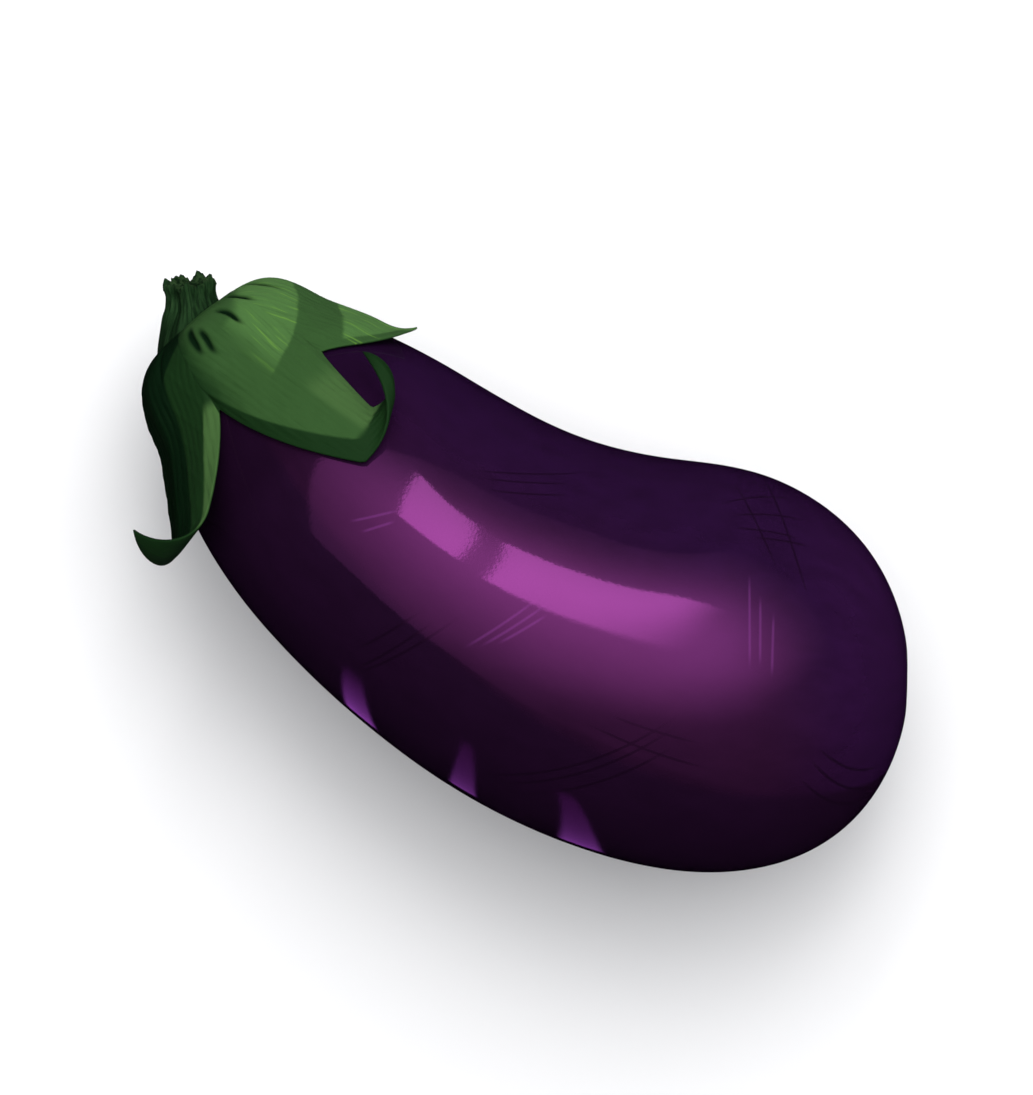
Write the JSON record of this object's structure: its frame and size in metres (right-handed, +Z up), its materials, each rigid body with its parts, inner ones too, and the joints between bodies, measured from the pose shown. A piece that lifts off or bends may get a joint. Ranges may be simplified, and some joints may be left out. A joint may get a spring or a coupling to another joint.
{
  "type": "eggplant",
  "caption": "Ripe globe eggplant lying on its side: a bent, glossy dark purple fruit, its lobed green calyx with curled tips, and a short torn stem.",
  "frame": {"origin": "on the small flat spot that the fruit rests on, under its centre line and near its centre of mass", "axes": "+X along the fruit from the stem end to the blossom end, +Y to the hollow side of the bend, +Z up from the surface it lies on"},
  "size_m": [0.2103, 0.1046, 0.098],
  "materials": {
    "skin": "glossy waxy skin, dark purple",
    "calyx": "matt, leathery and finely hairy, green",
    "stem": "matt, ribbed and fibrous, dark green"
  },
  "bodies": {
    "root": {"fruit": "skin", "calyx": "calyx", "stem": "stem"}
  },
  "joints": []
}
